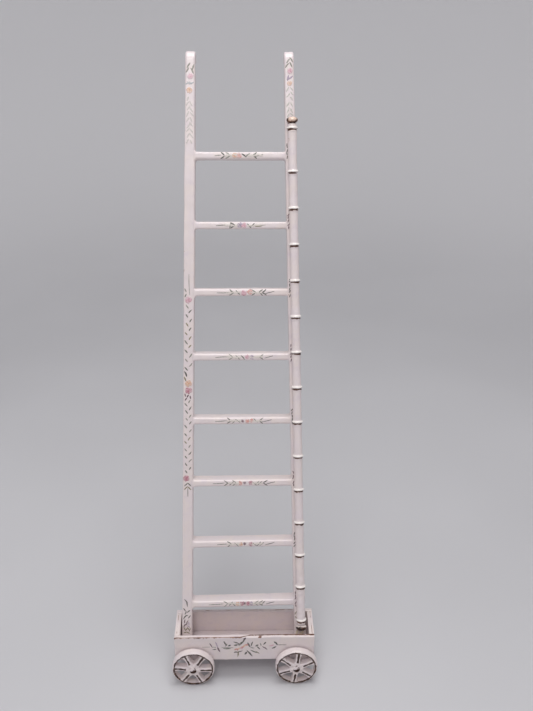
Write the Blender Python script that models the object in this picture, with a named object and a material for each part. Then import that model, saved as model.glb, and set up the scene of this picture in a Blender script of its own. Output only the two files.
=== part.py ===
"""Library ladder on a wheeled trolley: a hand-painted model at about 1:12 of the real thing.

A box trolley runs sideways on four cast wheels, whose axles lie front to back under its floor.
A ladder with hooked rails stands in the trolley and leans back on its rear board, and a bamboo
handrail pole runs up the front of the right rail.

Units are metres, +Z is up, +X is to the right and +Y points away from someone facing the ladder.
The origin is on the floor, under the middle of the whole object's bounding box.
"""
import math

import bmesh
import bpy
from mathutils import Matrix, Vector

MM = 0.001

# ---- fits -------------------------------------------------------------------------------
JOINT_GAP = 0.3 * MM          # between two pieces that are glued or rest on each other
RUNNING_GAP = 0.05 * MM       # between an axle and what turns on it

# ---- trolley ----------------------------------------------------------------------------
BOX_WIDTH = 45.0 * MM
BOX_DEPTH = 13.14 * MM
BOX_HEIGHT = 9.24 * MM
BOX_BOTTOM = 8.26 * MM        # height of the box's underside above the floor
BOX_OFFSET = -0.10 * MM       # the box sits a touch to the left of the wheels' middle
WALL = 1.38 * MM
END_WALL = 1.70 * MM          # the two end boards are a little thicker
BOARD_BEVEL = 0.25 * MM

# ---- wheels and axles -------------------------------------------------------------------
WHEEL_RADIUS = 6.82 * MM
WHEEL_TRACK = 33.28 * MM      # left axle to right axle
RIM_WIDTH = 2.4 * MM
RIM_WALL = 0.70 * MM
RIM_TO_BOX = 0.30 * MM        # between a rim's back edge and the panel beside it
SPOKES = 6
SPOKE_THICKNESS = 0.85 * MM
HUB_RADIUS = 1.30 * MM
HUB_NOSE = 1.55 * MM          # how far a hub stands out in front of its wheel's middle plane
HUB_TAIL = 1.75 * MM          # and behind it
AXLE_RADIUS = 0.80 * MM
AXLE_HEAD_RADIUS = 1.05 * MM  # the peened ends, which keep the wheels on
AXLE_HEAD = 0.40 * MM
AXLE_BLOCK_WIDTH = 5.0 * MM
AXLE_BLOCK_BOTTOM = 5.10 * MM
AXLE_BLOCK_INSET = 0.60 * MM  # from each face of the box
SPOKE_PHASE = {"front_left": -4.5, "front_right": 23.0, "rear_left": 11.0, "rear_right": 38.0}

# ---- ladder -----------------------------------------------------------------------------
LEAN = math.radians(15.62)
RAIL_TAPER = math.atan(0.0211)   # each rail leans in towards the other
RAIL_WIDTH = 3.20 * MM
RAIL_DEPTH = 5.40 * MM
LADDER_OFFSET = -0.51 * MM
LADDER_FRONT = 5.80 * MM      # from the box's front to the rails' front, at the box's top edge
INNER_HALF_WIDTH = 16.73 * MM    # half the space between the rails, at the box's top edge
TREADS = 8
TREAD_PITCH = 20.26 * MM      # along the rails
FIRST_TREAD = 6.01 * MM       # underside of the lowest tread, along the rails
TREAD_THICKNESS = 2.30 * MM
TREAD_DEPTH = 5.20 * MM
TREAD_SETBACK = 0.10 * MM
TREAD_SLIPS = {6: -0.20 * MM, 7: -0.10 * MM, 8: 0.35 * MM}   # glued a little off the regular pitch
EDGE_EASE = 0.30 * MM

# ---- hooks: each rail's end carries a curl over to the back, like a cane's handle ----------
HOOK_CENTRE = 176.8 * MM      # height of the curl's centre, along the rail
HOOK_RADIUS = 2.95 * MM
HOOK_BAND = 2.0 * MM
HOOK_TIP_ANGLE = math.radians(-12.0)   # how far the tip turns in past the back
NECK_LENGTH = 3.4 * MM        # from the curl's centre down to the rail's end
RAIL_SHOULDER = 1.2 * MM      # the corner taken off the rail's end, behind the hook
HOOK_STEPS = 12

# ---- handrail pole ----------------------------------------------------------------------
POLE_RADIUS = 1.36 * MM
POLE_OFFSET = 0.47 * MM       # outwards from the middle of the right rail
NODE_RADIUS = 1.65 * MM
NODE_HEIGHT = 1.3 * MM
NODE_COUNT = 13
NODE_BASE = 13.65 * MM        # the lowest regular node, along the rail
NODE_PITCH = 10.87 * MM
NODE_DRIFT = 0.30 * MM        # how uneven the bamboo's growth is
END_NODES = (1.90 * MM, 157.14 * MM)
BEAD_RADIUS = 1.72 * MM
BEAD_HALF_HEIGHT = 0.95 * MM

# ---- derived ----------------------------------------------------------------------------
BOX_TOP = BOX_BOTTOM + BOX_HEIGHT
FLOOR_TOP = BOX_BOTTOM + WALL
RAIL_TOP = HOOK_CENTRE - NECK_LENGTH             # along the rail
RIM_MIDDLE = RIM_TO_BOX + RIM_WIDTH / 2          # from the panel to a wheel's middle plane
AXLE_OVERHANG = RIM_MIDDLE + HUB_NOSE + RUNNING_GAP + AXLE_HEAD
HOOK_BACK = (LADDER_FRONT + HOOK_CENTRE * math.sin(LEAN) + HOOK_RADIUS * math.cos(LEAN)
             + HOOK_RADIUS)
MIDDLE_Y = (HOOK_BACK - AXLE_OVERHANG) / 2       # the bounding box's middle, behind the front panel

# ---- materials --------------------------------------------------------------------------
WHITE_PAINT = (0.80, 0.72, 0.73, 1.0)
WHITE_ENAMEL = (0.74, 0.66, 0.66, 1.0)
POLE_PAINT = (0.82, 0.75, 0.73, 1.0)
OLD_GILT = (0.52, 0.34, 0.16, 1.0)
BRONZE = (0.20, 0.11, 0.06, 1.0)


def clear_scene():
    for obj in list(bpy.data.objects):
        bpy.data.objects.remove(obj, do_unlink=True)


def make_material(name, colour, roughness, metallic):
    material = bpy.data.materials.new(name)
    material.use_nodes = True
    shader = material.node_tree.nodes["Principled BSDF"]
    shader.inputs["Base Color"].default_value = colour
    shader.inputs["Roughness"].default_value = roughness
    shader.inputs["Metallic"].default_value = metallic
    return material


def add_empty(name, location, parent=None, rotation=(0.0, 0.0, 0.0)):
    empty = bpy.data.objects.new(name, None)
    bpy.context.scene.collection.objects.link(empty)
    empty.parent = parent
    empty.location = location
    empty.rotation_euler = rotation
    return empty


def add_object(name, mesh, parent, look, location=(0.0, 0.0, 0.0), rotation=(0.0, 0.0, 0.0)):
    """One sub-part: look is (material name, colour, roughness, metallic)."""
    obj = bpy.data.objects.new(name, mesh)
    bpy.context.scene.collection.objects.link(obj)
    obj.parent = parent
    obj.location = location
    obj.rotation_euler = rotation
    material_name, colour, roughness, metallic = look
    if not mesh.materials:
        mesh.materials.append(None)
    obj.material_slots[0].link = "OBJECT"     # a shared mesh may carry a different paint
    obj.material_slots[0].material = make_material(material_name, colour, roughness, metallic)
    return obj


def finish_mesh(name, bm):
    """Turn a bmesh into a mesh whose faces point out and whose round stretches are smooth."""
    bmesh.ops.recalc_face_normals(bm, faces=bm.faces)
    mesh = bpy.data.meshes.new(name)
    bm.to_mesh(mesh)
    bm.free()
    mesh.shade_smooth()
    mesh.set_sharp_from_angle(angle=math.radians(35.0))
    return mesh


def board_mesh(name, size_x, size_y, size_z):
    """A board centred on its own origin."""
    bm = bmesh.new()
    bmesh.ops.create_cube(bm, size=1.0, matrix=Matrix.Diagonal((size_x, size_y, size_z, 1.0)))
    return finish_mesh(name, bm)


def prism_mesh(name, outline, width):
    """Extrude an outline of (y, z) points along X, centred on x = 0."""
    bm = bmesh.new()
    loop = [bm.verts.new((-width / 2, y, z)) for y, z in outline]
    face = bm.faces.new(loop)
    pushed = bmesh.ops.extrude_face_region(bm, geom=[face])
    moved = [item for item in pushed["geom"] if isinstance(item, bmesh.types.BMVert)]
    bmesh.ops.translate(bm, verts=moved, vec=(width, 0.0, 0.0))
    return finish_mesh(name, bm)


def turned_mesh(name, profile, segments, axis, closed=False):
    """Spin (radius, position along the axis) points about the Y or the Z axis.

    An open profile starts and ends on the axis; a closed one makes a ring.
    """
    bm = bmesh.new()
    places = [(r, h, 0.0) if axis == "Y" else (r, 0.0, h) for r, h in profile]
    verts = [bm.verts.new(place) for place in places]
    pairs = list(zip(verts, verts[1:]))
    if closed:
        pairs.append((verts[-1], verts[0]))
    edges = [bm.edges.new(pair) for pair in pairs]
    spin_axis = (0.0, 1.0, 0.0) if axis == "Y" else (0.0, 0.0, 1.0)
    bmesh.ops.spin(bm, geom=verts + edges, cent=(0.0, 0.0, 0.0), axis=spin_axis, dvec=(0.0, 0.0, 0.0),
                   angle=2 * math.pi, steps=segments, use_merge=True)
    bmesh.ops.remove_doubles(bm, verts=bm.verts, dist=0.0001 * MM)
    return finish_mesh(name, bm)


def combine(name, base, steps):
    """Join or cut temporary meshes: steps is a list of (operation, mesh, matrix)."""
    temporary = [bpy.data.objects.new(name + "_base", base)]
    for operation, mesh, matrix in steps:
        tool = bpy.data.objects.new(name + "_tool", mesh)
        tool.matrix_world = matrix
        tool.hide_render = True
        tool.display_type = "WIRE"
        temporary.append(tool)
        boolean = temporary[0].modifiers.new(operation.lower(), "BOOLEAN")
        boolean.operation = operation
        boolean.object = tool
    for obj in temporary:
        bpy.context.scene.collection.objects.link(obj)
    bpy.context.view_layer.update()
    evaluated = temporary[0].evaluated_get(bpy.context.evaluated_depsgraph_get())
    result = bpy.data.meshes.new_from_object(evaluated)
    result.name = name
    for obj in temporary:
        bpy.data.objects.remove(obj, do_unlink=True)
    result.shade_smooth()
    result.set_sharp_from_angle(angle=math.radians(35.0))
    return result


def ease_edges(obj, width, segments=2):
    bevel = obj.modifiers.new("eased_edges", "BEVEL")
    bevel.width = width
    bevel.segments = segments
    bevel.limit_method = "ANGLE"
    bevel.angle_limit = math.radians(40.0)


# ---- trolley ----------------------------------------------------------------------------
def build_trolley(root):
    """Five boards: the front and back cover the ends, and the floor lies inside all four."""
    paint = ("trolley_paint", WHITE_PAINT, 0.35, 0.0)
    middle_y = BOX_DEPTH / 2
    middle_z = BOX_BOTTOM + BOX_HEIGHT / 2
    inside_y = BOX_DEPTH - 2 * WALL - 2 * JOINT_GAP
    inside_x = BOX_WIDTH - 2 * END_WALL - 2 * JOINT_GAP
    end_x = BOX_WIDTH / 2 - END_WALL / 2
    boards = {
        "trolley_front_panel": ((BOX_WIDTH, WALL, BOX_HEIGHT), (0.0, WALL / 2, middle_z)),
        "trolley_back_panel": ((BOX_WIDTH, WALL, BOX_HEIGHT), (0.0, BOX_DEPTH - WALL / 2, middle_z)),
        "trolley_left_end": ((END_WALL, inside_y, BOX_HEIGHT), (-end_x, middle_y, middle_z)),
        "trolley_right_end": ((END_WALL, inside_y, BOX_HEIGHT), (end_x, middle_y, middle_z)),
        "trolley_floor": ((inside_x, inside_y, WALL), (0.0, middle_y, BOX_BOTTOM + WALL / 2)),
    }
    for name, (size, (x, y, z)) in boards.items():
        board = add_object(name, board_mesh(name, *size), root, paint, (BOX_OFFSET + x, y, z))
        ease_edges(board, BOARD_BEVEL)


# ---- axles, their blocks and the wheels ---------------------------------------------------
def axle_mesh():
    """A rod with a domed, peened head at each end, centred on its own origin."""
    half = BOX_DEPTH / 2 + AXLE_OVERHANG
    shoulder = half - AXLE_HEAD
    dome = half - AXLE_HEAD / 2
    right_half = [(AXLE_RADIUS, shoulder), (AXLE_HEAD_RADIUS, shoulder), (AXLE_HEAD_RADIUS, dome),
                  (AXLE_HEAD_RADIUS * 0.7, half), (0.0, half)]
    left_half = [(r, -h) for r, h in reversed(right_half)]
    return turned_mesh("axle", left_half + right_half, 24, "Y")


def axle_block_mesh():
    """A block with a bore along Y; its origin is on the axle's line."""
    length = BOX_DEPTH - 2 * AXLE_BLOCK_INSET
    top = BOX_BOTTOM - JOINT_GAP - WHEEL_RADIUS
    bottom = AXLE_BLOCK_BOTTOM - WHEEL_RADIUS
    block = board_mesh("axle_block", AXLE_BLOCK_WIDTH, length, top - bottom)
    block.transform(Matrix.Translation((0.0, 0.0, (top + bottom) / 2)))
    bore_radius = AXLE_RADIUS + RUNNING_GAP
    bore = turned_mesh("axle_bore", [(0.0, -length), (bore_radius, -length), (bore_radius, length),
                                     (0.0, length)], 24, "Y")
    return combine("axle_block", block, [("DIFFERENCE", bore, Matrix())])


def spoke_mesh():
    """A deep blade along +X, higher at the hub than at the rim, as the casting left it."""
    bm = bmesh.new()
    back = RIM_WIDTH / 2 - 0.15 * MM
    outline = [(HUB_RADIUS * 0.8, back), (WHEEL_RADIUS - RIM_WALL * 0.6, back),
               (WHEEL_RADIUS - RIM_WALL * 0.6, -RIM_WIDTH / 2 + 0.12 * MM),
               (HUB_RADIUS * 1.7, -RIM_WIDTH / 2 - 0.15 * MM), (HUB_RADIUS * 0.8, -HUB_NOSE * 0.9)]
    loop = [bm.verts.new((x, y, -SPOKE_THICKNESS / 2)) for x, y in outline]
    face = bm.faces.new(loop)
    pushed = bmesh.ops.extrude_face_region(bm, geom=[face])
    moved = [item for item in pushed["geom"] if isinstance(item, bmesh.types.BMVert)]
    bmesh.ops.translate(bm, verts=moved, vec=(0.0, 0.0, SPOKE_THICKNESS))
    return finish_mesh("spoke", bm)


def wheel_mesh():
    """Rim, six spokes and hub in one casting, bored for the axle; the hub's nose points to -Y."""
    half = RIM_WIDTH / 2
    ease = 0.15 * MM
    inner = WHEEL_RADIUS - RIM_WALL
    rim = turned_mesh("rim", [(inner, -half), (WHEEL_RADIUS - ease, -half), (WHEEL_RADIUS, -half + ease),
                              (WHEEL_RADIUS, half - ease), (WHEEL_RADIUS - ease, half), (inner, half)],
                      48, "Y", closed=True)
    hub = turned_mesh("hub", [(0.0, -HUB_NOSE), (HUB_RADIUS * 0.92, -HUB_NOSE),
                              (HUB_RADIUS, -HUB_NOSE + 2 * ease), (HUB_RADIUS, half * 0.7),
                              (HUB_RADIUS * 0.88, HUB_TAIL), (0.0, HUB_TAIL)], 24, "Y")
    bore_radius = AXLE_RADIUS + RUNNING_GAP
    bore = turned_mesh("bore", [(0.0, -2 * HUB_NOSE), (bore_radius, -2 * HUB_NOSE),
                                (bore_radius, 2 * HUB_TAIL), (0.0, 2 * HUB_TAIL)], 24, "Y")
    spoke = spoke_mesh()
    turns = [Matrix.Rotation(-k * 2 * math.pi / SPOKES, 4, "Y") for k in range(SPOKES)]
    steps = [("UNION", hub, Matrix())]
    steps += [("UNION", spoke, turn) for turn in turns]
    steps.append(("DIFFERENCE", bore, Matrix()))
    return combine("wheel", rim, steps)


def build_running_gear(root):
    enamel = ("wheel_enamel", WHITE_ENAMEL, 0.40, 0.0)
    metal = ("axle_metal", BRONZE, 0.45, 1.0)
    block_paint = ("block_paint", WHITE_PAINT, 0.45, 0.0)
    wheel = wheel_mesh()
    axle = axle_mesh()
    block = axle_block_mesh()
    for side, sign in (("left", -1), ("right", 1)):
        line = Vector((sign * WHEEL_TRACK / 2, BOX_DEPTH / 2, WHEEL_RADIUS))
        ease_edges(add_object("axle_block_" + side, block, root, block_paint, line), BOARD_BEVEL, 1)
        add_object("axle_" + side, axle, root, metal, line)
        for end, out in (("front", -1), ("rear", 1)):
            centre = line + Vector((0.0, out * (BOX_DEPTH / 2 + RIM_MIDDLE), 0.0))
            facing = 0.0 if end == "front" else math.pi
            phase = -math.radians(SPOKE_PHASE[end + "_" + side])
            add_object("wheel_" + end + "_" + side, wheel, root, enamel, centre, (0.0, phase, facing))


# ---- ladder -----------------------------------------------------------------------------
def rail_outline():
    """The side of a rail as (depth, height) points; its foot is cut to stand flat on the floor."""
    foot = FLOOR_TOP + JOINT_GAP - BOX_TOP
    foot_front = foot / math.cos(LEAN)
    foot_back = (foot + RAIL_DEPTH * math.sin(LEAN)) / math.cos(LEAN)
    return [(0.0, foot_front), (0.0, RAIL_TOP), (RAIL_DEPTH - RAIL_SHOULDER, RAIL_TOP),
            (RAIL_DEPTH, RAIL_TOP - RAIL_SHOULDER), (RAIL_DEPTH, foot_back)]


def hook_outline():
    """The side of a hook: a short stem on the rail's end, then a curl over to the back."""
    def arc(radius, start, end):
        angles = [start + (end - start) * k / HOOK_STEPS for k in range(HOOK_STEPS + 1)]
        return [(HOOK_RADIUS + radius * math.cos(a), HOOK_CENTRE + radius * math.sin(a))
                for a in angles]

    stem_foot = RAIL_TOP + JOINT_GAP
    outline = [(0.0, stem_foot)]
    outline += arc(HOOK_RADIUS, math.pi, HOOK_TIP_ANGLE)
    outline += arc(HOOK_RADIUS - HOOK_BAND, HOOK_TIP_ANGLE, math.pi)
    outline.append((HOOK_BAND, stem_foot))
    return outline


def pole_profile():
    """The bamboo pole as (radius, height) points: a straight cane with a swelling at each node."""
    drifts = [-NODE_DRIFT * math.sin(2 * math.pi * k / NODE_COUNT) for k in range(NODE_COUNT)]
    nodes = [NODE_BASE + k * NODE_PITCH + drifts[k] for k in range(NODE_COUNT)]
    nodes = [END_NODES[0]] + nodes + [END_NODES[1]]
    bottom = nodes[0] - NODE_HEIGHT
    top = nodes[-1] + NODE_HEIGHT
    profile = [(0.0, bottom), (POLE_RADIUS * 0.92, bottom)]
    for height in nodes:
        profile += [(POLE_RADIUS * 0.96, height - NODE_HEIGHT * 0.55),
                    (NODE_RADIUS, height - NODE_HEIGHT * 0.20),
                    (NODE_RADIUS, height + NODE_HEIGHT * 0.05),
                    (POLE_RADIUS, height + NODE_HEIGHT * 0.55)]
    profile += [(POLE_RADIUS * 0.92, top), (0.0, top)]
    return profile


def bead_mesh():
    """A flattened bead; 8 stretches from pole to pole."""
    stretches = 8
    profile = []
    for k in range(stretches + 1):
        angle = -math.pi / 2 + math.pi * k / stretches
        radius = BEAD_RADIUS * math.cos(angle) if 0 < k < stretches else 0.0
        profile.append((radius, BEAD_HALF_HEIGHT * math.sin(angle)))
    return turned_mesh("bead", profile, 16, "Z")


def build_handrail(rail_frame):
    """The pole and its end beads lie in front of the rail whose frame this is."""
    depth = -(NODE_RADIUS + JOINT_GAP)
    pole_paint = ("pole_paint", POLE_PAINT, 0.35, 0.0)
    gilt = ("bead_gilt", OLD_GILT, 0.40, 1.0)
    pole = turned_mesh("handrail_pole", pole_profile(), 16, "Z")
    add_object("handrail_pole", pole, rail_frame, pole_paint, (POLE_OFFSET, depth, 0.0))
    bead = bead_mesh()
    reach = NODE_HEIGHT + JOINT_GAP + BEAD_HALF_HEIGHT
    bead_depth = -(BEAD_RADIUS + JOINT_GAP)
    for name, height in (("handrail_bead_bottom", END_NODES[0] - reach),
                         ("handrail_bead_top", END_NODES[1] + reach)):
        add_object(name, bead, rail_frame, gilt, (POLE_OFFSET, bead_depth, height))


def build_ladder(root):
    """Everything in the leaning frame: its Z runs up the rails and its Y to their back."""
    rail_paint = ("rail_paint", WHITE_PAINT, 0.35, 0.0)
    frame = add_empty("ladder_frame", (LADDER_OFFSET, LADDER_FRONT, BOX_TOP), root, (-LEAN, 0.0, 0.0))
    rail = prism_mesh("rail", rail_outline(), RAIL_WIDTH)
    hook = prism_mesh("hook", hook_outline(), RAIL_WIDTH)
    rail_x = INNER_HALF_WIDTH + RAIL_WIDTH / 2
    for side, sign in (("left", -1), ("right", 1)):
        rail_frame = add_empty("rail_frame_" + side, (sign * rail_x, 0.0, 0.0), frame,
                               (0.0, -sign * RAIL_TAPER, 0.0))
        ease_edges(add_object("rail_" + side, rail, rail_frame, rail_paint), EDGE_EASE, 1)
        ease_edges(add_object("hook_" + side, hook, rail_frame, rail_paint), EDGE_EASE, 1)
        if side == "right":
            build_handrail(rail_frame)

    tread_paint = ("tread_paint", WHITE_PAINT, 0.35, 0.0)
    for k in range(TREADS):
        bottom = FIRST_TREAD + k * TREAD_PITCH + TREAD_SLIPS.get(k + 1, 0.0)
        top = bottom + TREAD_THICKNESS
        half = INNER_HALF_WIDTH - top * math.tan(RAIL_TAPER) - JOINT_GAP
        name = "tread_%d" % (k + 1)
        mesh = board_mesh(name, 2 * half, TREAD_DEPTH, TREAD_THICKNESS)
        place = (0.0, TREAD_SETBACK + TREAD_DEPTH / 2, bottom + TREAD_THICKNESS / 2)
        ease_edges(add_object(name, mesh, frame, tread_paint, place), EDGE_EASE)


def main():
    clear_scene()
    root = add_empty("ladder_root", (0.0, -MIDDLE_Y, 0.0))
    build_trolley(root)
    build_running_gear(root)
    build_ladder(root)


main()
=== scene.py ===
"""The looks of the library ladder: a small wooden and cast model under thick, hand-painted white paint.

Every piece is built in millimetres in the frame of what it belongs to (the trolley, the leaning ladder,
one rail or one wheel), and add_piece() sets it in place in metres. Flowers and leaves are thin raised
brush strokes, laid on the faces they are painted on.
"""

import math
import random

import bmesh
import bpy
from mathutils import Matrix, Vector, noise
from mathutils.bvhtree import BVHTree


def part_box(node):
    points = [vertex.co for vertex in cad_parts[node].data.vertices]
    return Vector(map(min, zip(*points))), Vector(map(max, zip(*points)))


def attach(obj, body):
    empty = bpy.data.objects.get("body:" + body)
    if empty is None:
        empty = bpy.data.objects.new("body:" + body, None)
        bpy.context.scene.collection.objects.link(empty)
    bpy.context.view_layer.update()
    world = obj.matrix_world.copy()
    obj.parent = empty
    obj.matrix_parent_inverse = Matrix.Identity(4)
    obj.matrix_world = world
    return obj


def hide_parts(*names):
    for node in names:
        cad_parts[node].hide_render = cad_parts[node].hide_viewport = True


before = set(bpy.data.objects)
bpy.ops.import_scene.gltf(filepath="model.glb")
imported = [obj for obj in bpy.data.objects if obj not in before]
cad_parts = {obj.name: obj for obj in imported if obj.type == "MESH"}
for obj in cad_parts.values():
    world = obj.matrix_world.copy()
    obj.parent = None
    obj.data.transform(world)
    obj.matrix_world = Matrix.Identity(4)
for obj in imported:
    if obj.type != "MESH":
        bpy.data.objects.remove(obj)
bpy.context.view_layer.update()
MM = 0.001

# ---- sizes shared with the CAD model, in millimetres ---------------------------------------
HUB_NOSE = 1.55
HUB_TAIL = 1.75
HUB_RADIUS = 1.30
BORE_RADIUS = 0.86
AXLE_RADIUS = 0.80
AXLE_HEAD_RADIUS = 1.05
AXLE_HEAD = 0.40
RIM_WIDTH = 2.4
RIM_WALL = 0.70
SPOKES = 6
SPOKE_PHASE = {"front_left": -4.5, "front_right": 23.0, "rear_left": 11.0, "rear_right": 38.0}
TREADS = 8
TREAD_SETBACK = 0.10
RAIL_WIDTH = 3.20
RAIL_DEPTH = 5.40
HOOK_CENTRE = 176.8           # heights on the ladder are measured along the rails, from the box's top
HOOK_RADIUS = 2.95
HOOK_BAND = 2.0
HOOK_TIP_ANGLE = math.radians(-12.0)
RAIL_TOP = 173.4
POLE_RADIUS = 1.36
POLE_OFFSET = 0.47
NODE_RADIUS = 1.65
NODE_HEIGHT = 1.3
NODE_COUNT = 13
NODE_BASE = 13.65
NODE_PITCH = 10.87
NODE_DRIFT = 0.30
END_NODES = (1.90, 157.14)
BEAD_RADIUS = 1.72
BEAD_HALF_HEIGHT = 0.95
JOINT_GAP = 0.3

# ---- sizes of the paint ----------------------------------------------------------------------
SUNK = 0.18                   # how far a glued end goes into its neighbour
SEAM = 0.05                   # the hairline left between two boards
BRUSH_RISE = 0.035            # how far a brush stroke stands out
BOARD_EDGE = 0.22             # how round a trolley board's edges are
TREAD_EDGE = 0.58             # and a tread's
HUB_BOSS = 2.05               # where the spokes' roots run together round the hub
END_LIP = 0.30                # the paint of the end nodes' lips lies further in than their middles
BEAD_REACH = NODE_HEIGHT + BEAD_HALF_HEIGHT - 0.05   # from an end node to the middle of its bead
NO_GILT = 9.0                 # a distance to the nearest gilded line that no line reaches across


# ---- places, read from the CAD frame -----------------------------------------------------------
def corners(node):
    low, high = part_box(node)
    return low / MM, high / MM


def middle(node):
    low, high = corners(node)
    return (low + high) / 2


PANEL_LOW, PANEL_HIGH = corners("trolley_front_panel")
BOX_WIDTH = PANEL_HIGH.x - PANEL_LOW.x
BOX_TOP = PANEL_HIGH.z
BOX_BOTTOM = PANEL_LOW.z
BOX_HEIGHT = BOX_TOP - BOX_BOTTOM
WALL = PANEL_HIGH.y - PANEL_LOW.y
END_WALL = 2 * (middle("trolley_left_end").x - PANEL_LOW.x)
BOX_DEPTH = corners("trolley_back_panel")[1].y - PANEL_LOW.y
TROLLEY = Matrix.Translation((middle("trolley_front_panel").x, PANEL_LOW.y, 0.0))

CLIMB = middle("tread_%d" % TREADS) - middle("tread_1")
LEAN = math.atan2(CLIMB.y, CLIMB.z)


def tread_size(number):
    """(half length, depth, thickness) of a tread, with its lean taken out."""
    low, high = corners("tread_%d" % number)
    size = high - low
    sine, cosine = math.sin(LEAN), math.cos(LEAN)
    square = cosine * cosine - sine * sine
    depth = (size.y * cosine - size.z * sine) / square
    thickness = (size.z * cosine - size.y * sine) / square
    return size.x / 2, depth, thickness


TREAD_DEPTH, TREAD_THICKNESS = tread_size(1)[1:]
TREAD_BACK = TREAD_SETBACK + TREAD_DEPTH / 2


def tread_height(number):
    """The middle of a tread, along the rails."""
    rise = middle("tread_%d" % number).z - BOX_TOP
    return (rise + TREAD_BACK * math.sin(LEAN)) / math.cos(LEAN)


RAIL_TAPER = math.atan((tread_size(1)[0] - tread_size(TREADS)[0]) / CLIMB.length)
INNER_HALF_WIDTH = (tread_size(1)[0] + JOINT_GAP
                    + (tread_height(1) + TREAD_THICKNESS / 2) * math.tan(RAIL_TAPER))
UP = Vector((0.0, math.sin(LEAN), math.cos(LEAN)))
BACK = Vector((0.0, math.cos(LEAN), -math.sin(LEAN)))
LADDER_FOOT = middle("tread_1") - UP * tread_height(1) - BACK * TREAD_BACK
LADDER = Matrix.Translation(LADDER_FOOT) @ Matrix.Rotation(-LEAN, 4, "X")
RAIL_X = INNER_HALF_WIDTH + RAIL_WIDTH / 2
RAILS = {side: (LADDER @ Matrix.Translation((sign * RAIL_X, 0.0, 0.0))
                @ Matrix.Rotation(-sign * RAIL_TAPER, 4, "Y"))
         for side, sign in (("left", -1), ("right", 1))}
WHEEL_RADIUS = middle("wheel_front_left").z - corners("wheel_front_left")[0].z


# ---- materials -----------------------------------------------------------------------------------
def srgb(red, green, blue):
    """A colour given as 0 to 255, in the linear form that shaders take."""
    def linear(value):
        share = value / 255
        return share / 12.92 if share <= 0.04045 else ((share + 0.055) / 1.055) ** 2.4
    return (linear(red), linear(green), linear(blue), 1.0)


WHITE = srgb(232, 220, 221)
WARM_WHITE = srgb(235, 222, 218)
COOL_WHITE = srgb(222, 209, 216)
CREAM = srgb(242, 231, 225)
# near-white of the painted highlight on the pole's node lips
LIP_HIGHLIGHT = srgb(252, 246, 240)
# colour of the painted shade in the paint's hollows
CREVICE_SHADE = srgb(142, 122, 116)
UNDERCOAT = srgb(172, 138, 110)
DARK_GILT = srgb(58, 34, 27)
BROWN_GILT = srgb(118, 82, 60)
OLD_GOLD = srgb(184, 140, 98)


class Shading:
    """A material's node tree, built one node at a time."""

    def __init__(self, name):
        self.material = bpy.data.materials.new(name)
        self.material.use_nodes = True
        self.tree = self.material.node_tree
        self.shader = self.tree.nodes["Principled BSDF"]
        self.place = self.attribute("own_place").outputs["Vector"]

    def add(self, kind, **settings):
        made = self.tree.nodes.new(kind)
        for key, value in settings.items():
            setattr(made, key, value)
        return made

    def feed(self, socket, value):
        """Link an output to a socket, or set the socket to a plain value."""
        if isinstance(value, bpy.types.NodeSocket):
            self.tree.links.new(value, socket)
        else:
            socket.default_value = value

    def noise(self, scale, detail=3.0, stretch=(1.0, 1.0, 1.0)):
        mapped = self.add("ShaderNodeMapping")
        self.feed(mapped.inputs["Vector"], self.place)
        mapped.inputs["Scale"].default_value = stretch
        made = self.add("ShaderNodeTexNoise")
        self.feed(made.inputs["Vector"], mapped.outputs["Vector"])
        made.inputs["Scale"].default_value = scale
        made.inputs["Detail"].default_value = detail
        made.inputs["Roughness"].default_value = 0.55
        return made.outputs["Fac"]

    def remap(self, value, low, high, to_low=0.0, to_high=1.0):
        made = self.add("ShaderNodeMapRange", interpolation_type="SMOOTHSTEP")
        self.feed(made.inputs["Value"], value)
        for key, number in (("From Min", low), ("From Max", high), ("To Min", to_low),
                            ("To Max", to_high)):
            made.inputs[key].default_value = number
        return made.outputs["Result"]

    def cloud(self, scale, detail, low, high, to_low=0.0, to_high=1.0):
        """Noise, remapped: scale sets how small its patches are."""
        return self.remap(self.noise(scale, detail), low, high, to_low, to_high)

    def math(self, operation, first, second):
        made = self.add("ShaderNodeMath", operation=operation)
        self.feed(made.inputs[0], first)
        self.feed(made.inputs[1], second)
        return made.outputs[0]

    def mix(self, share, first, second):
        made = self.add("ShaderNodeMix", data_type="RGBA")
        self.feed(made.inputs[0], share)
        self.feed(made.inputs[6], first)
        self.feed(made.inputs[7], second)
        return made.outputs[2]

    def attribute(self, name):
        return self.add("ShaderNodeAttribute", attribute_name=name)

    def along(self, direction):
        """How far a point lies along a direction, in millimetres from the piece's own origin."""
        made = self.add("ShaderNodeVectorMath", operation="DOT_PRODUCT")
        self.feed(made.inputs[0], self.place)
        made.inputs[1].default_value = Vector(direction).normalized() / MM
        return made.outputs["Value"]

    def bump(self, height, distance, strength, under=None):
        made = self.add("ShaderNodeBump")
        self.feed(made.inputs["Height"], height)
        made.inputs["Distance"].default_value = distance
        made.inputs["Strength"].default_value = strength
        if under is not None:
            self.feed(made.inputs["Normal"], under)
        return made.outputs["Normal"]

    def finish(self, colour, roughness, normal, metallic=0.0, coat=0.0):
        self.feed(self.shader.inputs["Base Color"], colour)
        self.feed(self.shader.inputs["Roughness"], roughness)
        self.feed(self.shader.inputs["Normal"], normal)
        self.feed(self.shader.inputs["Metallic"], metallic)
        self.shader.inputs["Coat Weight"].default_value = coat
        self.shader.inputs["Coat Roughness"].default_value = 0.22
        return self.material


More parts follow.
